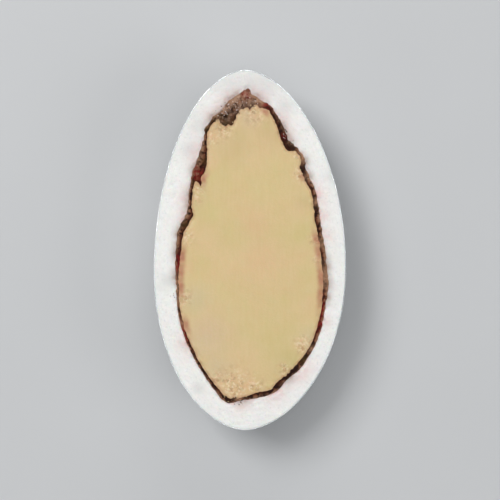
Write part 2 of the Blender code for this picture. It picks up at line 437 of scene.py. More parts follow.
def makeGrain():
    # fine grain of a given size in metres: random cells, pushed out of shape by finer noise
    # Height is a rounded crystal with noise on it, and Facet a random number for each cell
    # Mask is 1 in the share of the cells that Specks gives
    values = {"Size": 0.2 * mm, "Mix": 0.5, "Specks": 0.2}
    group, given, made = newGroup("fine grain", values, ("Height", "Mask", "Facet"))
    scale = calc(group, "DIVIDE", 1.0, given["Size"])
    noise = noiseOf(group, given["Vector"], times(group, scale, 2.2), 2.0, 0.6)
    # cells looked up at Vector + 1.8 * Size * (noise - 0.5)
    centred = put(group, "VectorMath", {0: noise["Color"], 1: (0.5, 0.5, 0.5)}, operation="SUBTRACT")
    reach = times(group, given["Size"], 1.8)
    push = put(group, "VectorMath", {0: centred[0], "Scale": reach}, operation="SCALE")
    moved = put(group, "VectorMath", {0: given["Vector"], 1: push[0]}, operation="ADD")
    inputs = {"Vector": moved[0], "Scale": scale, "Randomness": 1.0}
    cells = put(group, "TexVoronoi", inputs, feature="F1")
    rounded = calc(group, "SUBTRACT", 1.0, cells["Distance"])
    shared = put(group, "Mix", {0: given["Mix"], 2: rounded, 3: noise[0]}, data_type="FLOAT")
    pick = put(group, "SeparateColor", {0: cells["Color"]})
    chosen = calc(group, "LESS_THAN", pick[0], given["Specks"])
    away = calc(group, "ADD", cells["Distance"], times(group, pick[1], 0.35))
    group.links.new(shared[0], made["Height"])
    group.links.new(times(group, chosen, between(group, away, 0.75, 0.45)), made["Mask"])
    group.links.new(pick[2], made["Facet"])
    return group


groups = {"patches": makePatches(), "grain": makeGrain()}


def patches(tree, where, size, seed=0.0, contrast=0.2):
    # the soft patches; the lower the contrast value, the sharper their edges
    inputs = {"Vector": where, "Size": size, "Seed": seed, "Contrast": contrast}
    return put(tree, "Group", inputs, node_tree=groups["patches"])[0]


def spread(tree, where, size, seed, contrast, low, high):
    # soft patches whose values run from low to high
    return between(tree, patches(tree, where, size, seed, contrast), 0.0, 1.0, low, high)


def grains(tree, where, size, mix=0.5, specks=0.2):
    # the fine grain, by its outputs Height, Mask and Facet
    inputs = {"Vector": where, "Size": size, "Mix": mix, "Specks": specks}
    return put(tree, "Group", inputs, node_tree=groups["grain"])


def newMaterial(name):
    # a material with its Principled shader and the object coordinates
    material = bpy.data.materials.new(name)
    material.use_nodes = True
    tree = material.node_tree
    shader = tree.nodes["Principled BSDF"]
    return material, tree, shader, put(tree, "TexCoord", {})["Object"]


def drawnOut(tree, where, share):
    # coordinates in which a pattern comes out longer along the sweet
    return put(tree, "Mapping", {"Vector": where, "Scale": (1.0, share, 1.0)})[0]


def fromMiddle(tree, noise):
    # the distance of a noise from its middle value: 0 along lines
    return calc(tree, "ABSOLUTE", calc(tree, "SUBTRACT", noise, 0.5))


def readValue(tree, name):
    # a value that is painted on the points
    return put(tree, "Attribute", {}, attribute_name=name)["Fac"]


def shade(tree, shader, colour, roughness, height, strength, distance):
    # colour, roughness and relief into the shader; a height of 1 stands as high as the distance
    bump = put(tree, "Bump", {"Height": height, "Strength": strength, "Distance": distance})
    for name, value in (("Base Color", colour), ("Roughness", roughness), ("Normal", bump[0])):
        tree.links.new(value, shader.inputs[name])


def setShader(shader, **values):
    # values on the shader's own sockets, written with _ for a space
    for key, value in values.items():
        shader.inputs[key.replace("_", " ")].default_value = value


# The silver coat

silver = {
    "thickness": 0.12 * mm,
    "edge": 0.045 * mm,  # its thickness where it is cut
    "rows": (24, 96),  # inside, outside
    "wave": 0.05 * mm,  # slow unevenness of the sugar under it
    "waveSize": 3.3 * mm,
    "dents": 0.04 * mm,
    "dentSize": 1.1 * mm,
    "ripple": 0.018 * mm,  # finest unevenness, which breaks up the reflections
    "rippleSize": 0.42 * mm,
    "chip": 0.02 * mm,  # how far its edge is broken back at the cut
    "chipSize": 0.9 * mm,
    "seed": 30,
    "cloudSize": 2.8 * mm,  # of the dark clouds, which are painted reflection
    "creaseSize": 0.9 * mm,
    "creasePatchSize": 1.3 * mm,  # of the stretches that have creases
    "glossSize": 1.6 * mm,
    "grainSize": 0.14 * mm,
    "crumple": 0.85 * mm,  # height of the leaf's folds for a noise of 1
    "crumpleSize": 1.7 * mm,
    "calm": (1.2 * mm, 0.1 * mm),  # depths below the cut between which they flatten
    "light": (0.91, 0.925, 0.93, 1),
    # dark clouds of painted reflection, and the colour of the grain's specks
    "darkReflectionAndSpeck": (0.27, 0.32, 0.34, 1),
    # painted shade in the creases
    "creaseShade": (0.10, 0.11, 0.11, 1),
}


def silverMaterial():
    # bright leaf, darkened by clouds of painted reflection, by specks and by painted shade in its creases,
    # with a bump of grain and crumples
    material, tree, shader, where = newMaterial("silver")
    along = drawnOut(tree, where, 0.45)
    # the dark clouds are painted reflection, put into the leaf's colour
    clouds = patches(tree, along, silver["cloudSize"], 0.0, 0.14)
    colour = tint(tree, silver["light"], clouds, 0.65, silver["darkReflectionAndSpeck"])
    # short creases, painted dark as shade, also grooved and rougher: where a noise that is stretched along
    # the sweet crosses its middle value
    folds = noiseOf(tree, drawnOut(tree, where, 0.25), 1 / silver["creaseSize"], 1.0)
    thin = between(tree, fromMiddle(tree, folds[0]), 0.0, 0.012, 0.2, 0.0)
    kept = between(tree, patches(tree, where, silver["creasePatchSize"], 5.0, 0.2), 0.75, 1.0)
    creases = times(tree, thin, kept)
    colour = blend(tree, creases, colour, silver["creaseShade"])
    grain = grains(tree, where, silver["grainSize"], 0.6, 0.15)
    colour = tint(tree, colour, grain["Mask"], 0.14, silver["darkReflectionAndSpeck"])
    gloss = spread(tree, where, silver["glossSize"], 8.0, 0.2, 0.035, 0.11)
    rough = calc(tree, "ADD", gloss, times(tree, creases, 0.4))
    # the leaf lies in fine crumples: a valley wherever a noise crosses its middle value
    noise = noiseOf(tree, along, 1 / silver["crumpleSize"], 3.0, 0.38)
    # they flatten towards the cut, so that its edge doesn't glitter
    start, end = silver["calm"]
    rise = put(tree, "SeparateXYZ", {"Vector": where})["Z"]
    calmer = between(tree, rise, cutZ - start, cutZ - end, 1.0, 0.12)
    crumples = times(tree, fromMiddle(tree, noise[0]), calmer)
    height = calc(tree, "ADD", times(tree, grain["Height"], 0.035), crumples)
    height = calc(tree, "SUBTRACT", height, times(tree, creases, 0.1))
    shade(tree, shader, colour, rough, height, 0.9, silver["crumple"])
    setShader(shader, Metallic=1.0)
    return material


def silverCoat():
    # two nested bowls that meet at the cut, the outer one moved inwards by waves, dents and ripples
    thickness = silver["thickness"]
    seed = silver["seed"]
    backDepth = cutZ + sweet["flatSpot"]
    up = np.radians(np.linspace(90, 0, silver["rows"][0]))
    down = np.radians(90 * np.linspace(0, 1, silver["rows"][1]) ** 1.15)
    inside = bowlRows(sweetOutline(thickness), backDepth - thickness, up, thickness)
    inside[-1, :, :2] = sweetOutline(silver["edge"])
    outside = bowlRows(sweetOutline(0.0), backDepth, down)
    # all three fade out towards the flat spot and the cut
    free = smoothStep(0.0, 0.6 * mm, cutZ - outside[..., 2]) * smoothStep(0.0, 0.8 * mm, outside[..., 2])
    slow = 0.5 + 0.5 * softNoise(outside, silver["waveSize"], seed + 1)
    dents = smoothStep(0.45, 0.9, softNoise(outside, silver["dentSize"], seed + 2))
    ripple = 0.5 + 0.5 * softNoise(outside, silver["rippleSize"], seed + 4)
    sink = free * (silver["wave"] * slow + silver["dents"] * dents + silver["ripple"] * ripple)
    away = outside - np.array((*middle, cutZ))
    outside -= away / np.maximum(np.linalg.norm(away, axis=-1, keepdims=True), 1e-6) * sink[..., None]
    # the edge at the cut is chipped back unevenly
    chip = silver["chip"] * smoothStep(0.0, 0.9, roughNoise(outside[0], silver["chipSize"], seed + 3))
    outside[0, :, 2] -= chip
    inside[-1, :, 2] -= chip
    piece = closedSurface("silver_foil", np.concatenate((inside, outside)))
    return dress(piece, "silver_coat", silverMaterial())


# The sugar shell

sugar = {
    "clear": 0.005 * mm,  # its gap to the coat
    "rows": (14, 72, 28),  # inside, across the cut, outside
    "uneven": 0.022 * mm,  # height of the cut face's relief
    "unevenSize": 1.4 * mm,
    "grit": 0.014 * mm,
    "gritSize": 0.28 * mm,
    "broken": 0.08 * mm,  # how deep it has crumbled beside the skin
    "brokenReach": 0.35 * mm,
    "brokenSize": 0.35 * mm,
    "pits": 0.035 * mm,
    "pitSize": 0.33 * mm,
    "pitPatchSize": 2.3 * mm,  # of the stretches that have pits
    "rim": 0.04 * mm,  # how far it drops at its outer edge
    "seed": 40,
    "cloudSize": 2.2 * mm,
    "ringAngle": 34.0,  # radians from skin to coat: five thin growth rings
    "ringWobble": 2.5,
    "wobbleSize": 1.2 * mm,
    "spotSize": 0.5 * mm,  # of the uneven pink
    "smudgeAndShadowSize": 0.8 * mm,
    "grain": 0.04 * mm,  # height of the crystals in the bump
    "grainSize": 0.14 * mm,
    "coarseSize": 0.32 * mm,
    "white": (0.96, 0.945, 0.91, 1),
    "shade": (0.76, 0.75, 0.73, 1),
    "pink": (0.80, 0.47, 0.44, 1),
    "brownSmudgeAndShadow": (0.42, 0.31, 0.26, 1),
    "speck": (0.66, 0.66, 0.66, 1),
    # how far from the skin the pink stains and the brown smudges, partly painted shadow of the skin, reach
    "stainAndShadowReach": {"pinkness": 0.9 * mm, "smudgeAndShadow": 0.45 * mm},
    # x, y, radius in mm of the places that the skin has stained, of the brown smudges, which are partly
    # painted shadow beside the skin, and of the greyer ones, which are painted shade
    "stainAndShadowPlaces": {
        "pinkness": (
            (3.3, 9.8, 1.0), (2.8, 10.8, 0.9), (-2.9, 11.7, 1.2), (-1.9, 12.7, 1.0), (0.8, 12.9, 0.9),
            (-5.5, 4.2, 1.2), (-5.6, 2.8, 0.8), (-4.7, 8.2, 1.2), (-5.6, -8.0, 1.0), (5.8, 4.6, 1.1),
            (6.1, 2.9, 0.8), (6.3, 1.2, 0.7), (6.4, -6.0, 0.5), (4.4, -10.5, 1.5), (2.4, -12.1, 1.2),
            (-0.6, -13.0, 1.0),
        ),
        "smudgeAndShadow": (
            (-3.4, 11.0, 0.7), (-2.7, 11.8, 0.9), (-1.9, 12.5, 0.8), (-1.2, 13.0, 0.6), (0.8, 12.8, 0.8),
            (3.2, 9.5, 0.8), (2.8, 10.4, 0.6), (4.6, 7.4, 0.8), (5.1, 6.2, 0.5), (-4.8, 6.8, 0.9),
            (-5.2, 4.2, 1.3), (-6.0, 1.4, 0.7), (-6.2, 0.0, 1.0), (-6.3, -2.2, 0.8), (6.5, -1.2, 0.9),
            (6.5, -2.8, 1.0), (6.5, -4.0, 0.7), (-0.6, -12.7, 0.6), (3.4, -10.9, 0.6),
        ),
    },
    # greyer places: painted shade, most at the top of the sweet and on its left
    "places": {
        "greyness": (
            (-6.9, -2.5, 0.7), (-4.3, -11.5, 0.5), (6.9, 6.2, 0.6), (1.2, 13.8, 1.6), (-1.4, 13.7, 1.7),
            (0.0, 13.8, 1.5), (-4.2, 10.4, 1.3), (-5.0, 8.4, 0.7), (2.9, 12.0, 0.9),
        ),
    },
}


def sugarMaterial():
    # white, greyer in clouds and rings and with painted shade at some places, stained beside the skin and
    # darkened there by brown smudges that are partly painted shadow, with crystals of many shades
    material, tree, shader, where = newMaterial("sugar")
    cloudy = times(tree, patches(tree, where, sugar["cloudSize"]), 0.15)
    # painted shade at the greyer places
    paintedGrey = times(tree, readValue(tree, "greyness"), 0.8)
    colour = blend(tree, calc(tree, "ADD", cloudy, paintedGrey), sugar["white"], sugar["shade"])
    # the rings follow the value that runs from the skin to the coat
    across = readValue(tree, "across")
    wobble = times(tree, patches(tree, where, sugar["wobbleSize"], 2.0), sugar["ringWobble"])
    angle = calc(tree, "ADD", times(tree, across, sugar["ringAngle"]), wobble)
    ring = between(tree, calc(tree, "SINE", angle), 0.5, 1.0, 0.0, 0.10)
    colour = blend(tree, ring, colour, sugar["shade"])
    # the skin has stained the sugar next to it, most at some places
    spotty = spread(tree, where, sugar["spotSize"], 5.0, 0.15, 0.55, 1.0)
    beside = between(tree, across, 0.14, 0.0, 0.0, 0.4)
    stain = calc(tree, "ADD", beside, times(tree, readValue(tree, "pinkness"), 0.65))
    colour = tint(tree, colour, stain, spotty, sugar["pink"])
    # a brown smudge beside the skin, partly painted shadow of its edge on the sugar
    steady = spread(tree, where, sugar["smudgeAndShadowSize"], 13.0, 0.2, 0.7, 0.9)
    colour = tint(tree, colour, readValue(tree, "smudgeAndShadow"), steady, sugar["brownSmudgeAndShadow"])
    # each crystal has its own shade, and a few are dark
    grain = grains(tree, where, sugar["grainSize"], 0.45, 0.14)
    coarse = grains(tree, where, sugar["coarseSize"])
    colour = tint(tree, colour, coarse["Facet"], 0.24, sugar["shade"])
    colour = tint(tree, colour, grain["Facet"], 0.16, sugar["shade"])
    colour = tint(tree, colour, grain["Mask"], 0.4, sugar["speck"])
    rough = between(tree, grain["Height"], 0.3, 0.9, 0.7, 0.42)
    shade(tree, shader, colour, rough, grain["Height"], 0.4, sugar["grain"])
    setShader(shader, Subsurface_Weight=0.15, Subsurface_Scale=0.6 * mm, IOR=1.5)
    return material


def sugarShell():
    # its ring across the cut is uneven, pitted, crumbled beside the skin and lower at its outer edge
    seed = sugar["seed"]
    inset = silver["thickness"] + sugar["clear"]
    up = np.radians(np.linspace(90, 0, sugar["rows"][0]))
    shares = np.linspace(0, 1, sugar["rows"][1])[1:]
    down = np.radians(90 * np.linspace(0, 1, sugar["rows"][2]) ** 1.1)[1:]
    cut = acrossRows(skinEdge, sweetOutline(silver["edge"]), shares)
    inside = bowlRows(skinEdge, almond["depth"] + sheath["under"], up, 0.0, skinSmooth)
    outside = bowlRows(sweetOutline(inset), cutZ + sweet["flatSpot"] - inset, down, inset)
    flat = cut[..., :2]
    relief = sugar["uneven"] * roughNoise(flat, sugar["unevenSize"], seed + 1)
    relief += sugar["grit"] * roughNoise(flat, sugar["gritSize"], seed + 2, 2)
    crumbled = smoothStep(sugar["brokenReach"], 0.0, distanceTo(skinEdge, flat))
    crumbled *= 0.5 + roughNoise(flat, sugar["brokenSize"], seed + 3, 2)
    pitted = smoothStep(0.62, 0.9, softNoise(flat, sugar["pitSize"], seed + 4))
    pitted *= smoothStep(0.1, 0.5, softNoise(flat, sugar["pitPatchSize"], seed + 5))
    rim = sugar["rim"] * smoothStep(0.97, 1.0, shares)[:, None]
    cut[..., 2] += relief - sugar["broken"] * crumbled - sugar["pits"] * pitted - rim
    inside[-1, :, 2] -= sugar["broken"]
    piece, rows = ringed("sugar_wall", inside, cut, outside, shares)
    # the stains and the brown smudges, partly painted shadow, also fade as a bell of the distance to the
    # skin
    toSkin = distanceTo(skinEdge, rows[..., :2])
    for name, reach in sugar["stainAndShadowReach"].items():
        stain = nearPlaces(rows, sugar["stainAndShadowPlaces"][name]) * np.exp(-((toSkin / reach) ** 2))
        paintValues(piece, name, poled(stain))
    paintPlaces(piece, rows, sugar["places"])
    return dress(piece, "sugar_shell", sugarMaterial())


# The brown skin

skin = {
    "rows": (20, 20, 24),  # inside, across the cut, outside
    "crinkle": 0.06 * mm,
    "crinkleSize": 0.5 * mm,
    "fineCrinkleSize": 0.22 * mm,
    "crumple": 0.18 * mm,  # relief where it is folded
    "crumpleSize": 0.6 * mm,
    "foldedWidths": (0.45 * mm, 0.95 * mm),  # unfolded where narrower, all folded where wider
    "lowered": 0.05 * mm,  # both its edges at the cut
    "reliefLimits": (-0.35 * mm, 0.11 * mm),
    "innerDrop": 0.06 * mm,  # of its wall against the kernel
    "seed": 50,
    "mottleSize": 0.36 * mm,
    "redSize": 0.4 * mm,
    "fadedSize": 0.3 * mm,
    "dustSize": 0.5 * mm,
    "grain": 0.06 * mm,  # its height in the bump
    "grainSize": 0.26 * mm,
    "dark": (0.020, 0.0060, 0.0035, 1),
    "brown": (0.165, 0.052, 0.025, 1),
    "outer": (0.34, 0.20, 0.125, 1),  # its side by the sugar, which is paler
    "red": (0.21, 0.010, 0.011, 1),
    "faded": (0.42, 0.235, 0.14, 1),
    "olive": (0.075, 0.044, 0.011, 1),
    "dusty": (0.50, 0.32, 0.225, 1),
    # x, y, radius in mm of the places that are redder, paler, darker, greener or dusted with sugar
    "places": {
        "redness": (
            (-4.3, 6.2, 0.55), (-4.45, 6.65, 0.4), (1.25, 12.05, 0.45), (-6.05, -1.1, 0.8),
            (-5.4, -6.8, 0.9), (6.3, -4.9, 0.8), (6.0, -6.2, 0.7), (-0.3, 13.0, 0.5), (2.9, 9.5, 0.25),
        ),
        "fadedness": (
            (4.25, 7.7, 0.5), (0.7, 12.4, 0.5), (-1.1, 12.15, 0.45), (0.0, 12.35, 0.25), (-6.15, -3.1, 0.9),
            (-0.9, -12.55, 0.35), (-6.0, -4.2, 0.4), (-5.65, -6.1, 0.4), (5.95, 0.6, 0.4),
            (6.35, -2.2, 0.9), (4.9, 6.1, 0.35), (5.5, 4.0, 0.3), (5.2, -8.3, 0.3),
        ),
        "darkness": (
            (3.3, 8.6, 0.7), (2.1, 11.1, 0.5), (2.5, 10.4, 0.5), (-1.7, -12.6, 0.4), (1.2, -11.9, 0.5),
            (-3.6, 9.9, 0.4), (2.4, -11.3, 0.6), (3.1, -10.55, 0.45), (3.7, -9.9, 0.35), (4.3, -9.2, 0.4),
            (2.65, 9.9, 0.5), (2.9, 9.3, 0.5), (-2.9, -11.4, 0.5), (-4.0, -10.0, 0.3), (-4.7, -8.8, 0.3),
            (-0.35, 12.15, 0.25), (-3.2, 10.6, 0.4), (-5.5, 2.1, 0.3), (-5.9, -0.3, 0.5), (4.5, 6.9, 0.5),
            (-5.85, -4.95, 0.3), (1.75, 11.65, 0.35),
        ),
        "oliveness": (
            (-2.0, 10.55, 0.55), (-1.65, 10.95, 0.4), (-2.45, 10.95, 0.4), (-2.9, 10.95, 0.45),
            (-3.5, 10.2, 0.4), (-5.4, 2.1, 0.4), (-3.9, 7.4, 0.35), (-4.7, 5.6, 0.3), (4.5, -9.2, 0.4),
        ),
        "dustiness": (
            (-2.2, 11.5, 0.7), (-1.1, 12.1, 0.7), (-0.9, 12.6, 0.6), (-0.4, 12.7, 0.6), (0.6, 12.45, 0.45),
            (0.1, 12.2, 0.3),
        ),
    },
}


def skinMaterial():
    # brown in fine mottles, nearly black by the kernel and paler by the sugar, tinted at its places
    material, tree, shader, where = newMaterial("skin")
    mottle = patches(tree, where, skin["mottleSize"], 0.0, 0.07)
    colour = blend(tree, mottle, skin["dark"], skin["brown"])
    side = calc(tree, "ADD", readValue(tree, "across"), times(tree, mottle, 0.3))
    inner = between(tree, side, 0.9, 0.3, 0.0, 0.8)
    darkness = readValue(tree, "darkness")
    darker = calc(tree, "MAXIMUM", inner, times(tree, darkness, 0.95))
    colour = blend(tree, darker, colour, skin["dark"])
    paleSide = between(tree, side, 0.6, 1.2, 0.0, 0.85)
    colour = tint(tree, colour, paleSide, between(tree, darkness, 0.0, 1.0, 1.0, 0.3), skin["outer"])
    patchy = spread(tree, where, skin["redSize"], 4.0, 0.12, 0.25, 0.95)
    colour = tint(tree, colour, readValue(tree, "redness"), patchy, skin["red"])
    colour = tint(tree, colour, readValue(tree, "oliveness"), 0.5, skin["olive"])
    paler = spread(tree, where, skin["fadedSize"], 7.0, 0.15, 0.4, 0.9)
    colour = tint(tree, colour, readValue(tree, "fadedness"), paler, skin["faded"])
    # sugar dust in the crumpled folds
    grain = grains(tree, where, skin["grainSize"], 0.5, 0.4)
    drifts = times(tree, patches(tree, where, skin["dustSize"], 11.0, 0.12), 0.65)
    dusty = calc(tree, "ADD", times(tree, grain["Mask"], 0.6), drifts)
    colour = tint(tree, colour, dusty, readValue(tree, "dustiness"), skin["dusty"])
    rough = between(tree, mottle, 0.0, 1.0, 0.68, 0.9)
    shade(tree, shader, colour, rough, grain["Height"], 0.7, skin["grain"])
    setShader(shader, Specular_IOR_Level=0.1)
    return material


def almondSkin():
    # its ring across the cut has crinkles, and where it is wide a ridge wherever a noise crosses nought
    seed = skin["seed"]
    up = np.radians(np.linspace(90, 0, skin["rows"][0]))
    shares = np.linspace(0, 1, skin["rows"][1])[1:]
    down = np.radians(np.linspace(0, 90, skin["rows"][2]))[1:]
    cut = acrossRows(kernelEdge, skinEdge, shares)
    inside = bowlRows(kernelEdge, almond["depth"], up, 0.0, kernelSmooth)
    outside = bowlRows(skinEdge, almond["depth"] + sheath["under"], down, 0.0, skinSmooth)
    flat = cut[..., :2]
    folded = smoothStep(*skin["foldedWidths"], skinWidth)
    relief = skin["crinkle"] * roughNoise(flat, skin["crinkleSize"], seed + 1, 2)
    ridges = 0.5 - 2 * np.abs(softNoise(flat, skin["crumpleSize"], seed + 2))
    relief += folded * skin["crumple"] * ridges
    relief += folded * skin["crinkle"] * roughNoise(flat, skin["fineCrinkleSize"], seed + 3, 2)
    arch = np.sin(math.pi * shares)[:, None]
    cut[..., 2] += np.clip(relief * arch - skin["lowered"] * (1 - arch), *skin["reliefLimits"])
    inside[-1, :, 2] -= skin["innerDrop"]
    piece, rows = ringed("skin_sheath", inside, cut, outside, shares)
    paintPlaces(piece, rows, skin["places"])
    return dress(piece, "almond_skin", skinMaterial())


# The kernel

kernel = {
    "rows": (92, 28),  # across the cut, under it
    "uneven": 0.028 * mm,
    "unevenSize": 2.6 * mm,
    "pits": 0.06 * mm,
    "pitSize": 0.4 * mm,
    "pitReach": 0.5 * mm,  # how far in from the edge they lie
    "highest": 0.06 * mm,  # that it may stand above the cut
    "seed": 60,
    "cloudSize": 5.0 * mm,
    "oliveSize": 3.5 * mm,
    "paleSize": 1.1 * mm,
    "fibreSize": 0.22 * mm,
    "grain": 0.03 * mm,  # its height in the bump
    "grainSize": 0.18 * mm,
    "dotSize": 0.24 * mm,
    "mottleSize": 0.36 * mm,
    "blotchSize": 0.7 * mm,
    "cream": (0.69, 0.525, 0.25, 1),
    "warm": (0.73, 0.51, 0.27, 1),
    "olive": (0.625, 0.515, 0.205, 1),
    "pale": (0.90, 0.76, 0.51, 1),
    "stained": (0.46, 0.18, 0.10, 1),
    "blush": (0.76, 0.465, 0.27, 1),
    "crumb": (0.36, 0.19, 0.075, 1),
    "dim": (0.42, 0.31, 0.135, 1),
    "grey": (0.60, 0.50, 0.35, 1),
    # colour and strength of the faint tints
    "tints": {"blush": ("blush", 0.55), "dimness": ("dim", 0.25), "greyness": ("grey", 0.45)},
    # x, y, radius in mm of the places with a broad orange stain, of the crumbly ones and of the tints
    "places": {
        "stain": (
            (6.1, -2.2, 1.3), (6.1, -3.8, 1.2), (-5.7, -0.6, 0.9), (-5.8, -1.8, 1.1), (-5.9, -3.1, 1.0),
            (-5.4, -6.3, 0.7), (1.3, 11.5, 0.4), (4.5, 6.2, 0.4), (5.8, -0.1, 0.8), (-3.9, 6.0, 0.6),
            (5.7, 0.9, 0.8),
        ),
        "crumbly": (
            (-1.3, -11.4, 1.4), (-2.6, -10.9, 0.8), (0.3, -11.4, 0.8), (-2.3, 10.1, 0.8), (0.4, 11.5, 0.9),
            (-3.3, 9.3, 0.6), (4.4, -7.9, 0.7), (-5.2, 1.0, 0.5), (-5.6, -4.0, 0.7), (-4.3, 5.2, 0.5),
            (4.2, 6.3, 0.6), (3.9, 7.9, 0.4), (5.4, 0.9, 0.5), (5.7, -0.7, 0.4), (-4.4, 4.3, 0.4),
            (2.9, -9.9, 0.5),
        ),
        "blush": (
            (0.9, -0.8, 2.0), (-3.4, -6.6, 1.2), (0.1, 11.0, 1.3), (0.4, 2.2, 1.6), (-3.7, 7.4, 1.0),
            (-1.3, -11.4, 1.6), (-5.3, -1.5, 0.8), (-2.8, 9.8, 0.7), (4.3, 6.4, 0.6), (-0.6, 11.4, 0.7),
        ),
        "oliveness": (
            (-3.3, 6.2, 1.0), (-3.4, 3.2, 1.1), (1.2, 10.5, 0.6), (4.4, 1.4, 1.2), (4.9, -1.8, 1.0),
            (3.3, -9.4, 0.9), (-4.7, -4.6, 0.8), (-1.6, 1.4, 1.3),
        ),
        "dimness": (
            (2.0, 10.2, 1.8), (-1.5, 9.0, 1.8), (3.0, -9.8, 1.4), (-4.5, 4.1, 0.8), (4.5, 4.0, 0.7),
            (-4.0, 5.1, 0.5), (0.2, 11.1, 1.2),
        ),
        "greyness": (
            (-4.6, -4.2, 1.3), (-3.6, -7.4, 2.0), (-2.8, -9.8, 1.3), (5.0, -7.4, 0.9), (-0.1, 11.2, 1.0),
        ),
    },
}


def kernelMaterial():
    # cream with broad tints and faint fibres, crumbly at its places, and stained near its edge
    material, tree, shader, where = newMaterial("kernel")
    clouds = patches(tree, where, kernel["cloudSize"], 0.0, 0.14)
    colour = blend(tree, clouds, kernel["cream"], kernel["warm"])
    green = times(tree, patches(tree, where, kernel["oliveSize"], 6.0, 0.14), 0.3)
    green = calc(tree, "ADD", green, times(tree, readValue(tree, "oliveness"), 0.5))
    colour = blend(tree, green, colour, kernel["olive"])
    for name, (tone, strength) in kernel["tints"].items():
        colour = tint(tree, colour, readValue(tree, name), strength, kernel[tone])
    colour = tint(tree, colour, patches(tree, where, kernel["paleSize"], 15.0, 0.3), 0.10, kernel["pale"])
    fibre = patches(tree, drawnOut(tree, where, 0.12), kernel["fibreSize"], 9.0)
    colour = tint(tree, colour, fibre, 0.08, kernel["pale"])
    grain = grains(tree, where, kernel["grainSize"])
    colour = blend(tree, between(tree, grain["Height"], 0.75, 0.35, 0.0, 0.22), colour, kernel["olive"])
    # the crumbly places are mottled, with pale crumbs and brown dots
    crumbly = readValue(tree, "crumbly")
    mottle = times(tree, patches(tree, where, kernel["mottleSize"], 3.0, 0.12), 0.6)
    colour = tint(tree, colour, crumbly, mottle, kernel["blush"])
    specks = between(tree, grain["Facet"], 0.55, 0.85, 0.0, 0.65)
    colour = tint(tree, colour, crumbly, specks, kernel["pale"])
    dots = grains(tree, where, kernel["dotSize"])
    brown = between(tree, dots["Facet"], 0.7, 0.9, 0.0, 0.55)
    colour = tint(tree, colour, crumbly, brown, kernel["crumb"])
    # the orange stain is thin all round the edge, and broad at some places
    edge = readValue(tree, "edge")
    blotch = spread(tree, where, kernel["blotchSize"], 12.0, 0.15, 0.82, 1.0)
    thin = between(tree, edge, 0.25, 0.0, 0.0, 0.5)
    broad = times(tree, between(tree, edge, 0.66, 0.25, 0.0, 0.95), readValue(tree, "stain"))
    colour = tint(tree, colour, calc(tree, "MAXIMUM", thin, broad), blotch, kernel["stained"])
    rough = between(tree, fibre, 0.0, 1.0, 0.42, 0.58)
    height = calc(tree, "ADD", grain["Height"], times(tree, crumbly, dots["Facet"]))
    shade(tree, shader, colour, rough, height, 0.45, kernel["grain"])
    setShader(shader, Subsurface_Weight=0.12, Subsurface_Scale=0.5 * mm, IOR=1.46)
    return material


def almondKernel():
    # the cut face in nested outlines over one bowl, lowered by pits near its edge and where it is crumbly
    seed = kernel["seed"]
    shares = 1 - (1 - np.linspace(0, 1, kernel["rows"][0])) ** 1.4
    down = np.radians(np.linspace(0, 90, kernel["rows"][1]))[1:]
    flat = nested(kernelSmooth, kernelEdge, shares[:, None, None])
    cut = np.dstack((flat, np.full(flat.shape[:2], cutZ)))
    under = bowlRows(kernelEdge, almond["depth"], down, 0.0, kernelSmooth)
    toEdge = distanceTo(kernelEdge, flat)
    crumbly = nearPlaces(flat, kernel["places"]["crumbly"])
    relief = kernel["uneven"] * roughNoise(flat, kernel["unevenSize"], seed + 1)
    pitted = np.maximum(smoothStep(kernel["pitReach"], 0.0, toEdge), 0.5 * crumbly)
    relief -= pitted * kernel["pits"] * (0.5 + roughNoise(flat, kernel["pitSize"], seed + 2))
    cut[..., 2] += np.minimum(relief, kernel["highest"])
    rows = np.concatenate((cut, under))
    piece = closedSurface("kernel_flesh", rows)
    paintValues(piece, "edge", poled(np.concatenate((toEdge / mm, np.zeros(under.shape[:2])))))
    paintPlaces(piece, rows, kernel["places"])
    return dress(piece, "almond_kernel", kernelMaterial())


# Crumbs on the cut face

# the ball that each crumb starts from
ball = {
    "rows": 5,  # of points, the poles with them
    "sides": 6,
    "broken": 0.65,  # how far the noise moves its surface, in radii
    "noiseSize": 0.7,  # in radii
}


def crumbs(name, kind, places, sizes, material, values):
    # each crumb is a ball, its radius broken by noise, then squashed, turned and set down
    draw = np.random.default_rng(kind["seed"])
    count = len(places)
    columns = ball["sides"]
    dip = np.linspace(0, math.pi, ball["rows"])[:, None]
    sides = np.arange(columns)[None, :] * (2 * math.pi / columns)
    sphere = np.stack((np.sin(dip) * np.cos(sides), np.sin(dip) * np.sin(sides),
                       np.cos(dip) * np.ones_like(sides)), axis=-1)
    shift = draw.uniform(0, 50, (count, 1, 1, 3))
    radius = 1 + ball["broken"] * softNoise(sphere[None] + shift, ball["noiseSize"], kind["seed"])
    shapes = sphere[None] * radius[..., None] * np.array(kind["squash"])
    spin = draw.uniform(0, 2 * math.pi, count)[:, None, None]
    x = shapes[..., 0] * np.cos(spin) - shapes[..., 1] * np.sin(spin)
    y = shapes[..., 0] * np.sin(spin) + shapes[..., 1] * np.cos(spin)
    shapes = np.stack((x, y, shapes[..., 2]), axis=-1) * sizes[:, None, None, None]
    shapes += places[:, None, None, :]
    inside = shapes[:, 1:-1].reshape(count, -1, 3)
    points = np.concatenate((shapes[:, :1, 0], inside, shapes[:, -1:, 0]), axis=1)
    each = points.shape[1]
    # the rows of a ball run downwards, so its faces are turned over
    start = (np.arange(count) * each)[:, None, None]
    faces = []
    for part in poledFaces(ball["rows"] - 2, columns):
        turned = np.roll(part[:, ::-1], 1, axis=1)
        faces += (start + turned).reshape(-1, part.shape[1]).tolist()
    mesh = bpy.data.meshes.new(name)
    mesh.from_pydata(points.reshape(-1, 3).tolist(), [], faces)
    piece = linked(name, mesh)
    for key, value in values.items():
        paintValues(piece, key, np.repeat(value, each))
    return dress(piece, None, material)


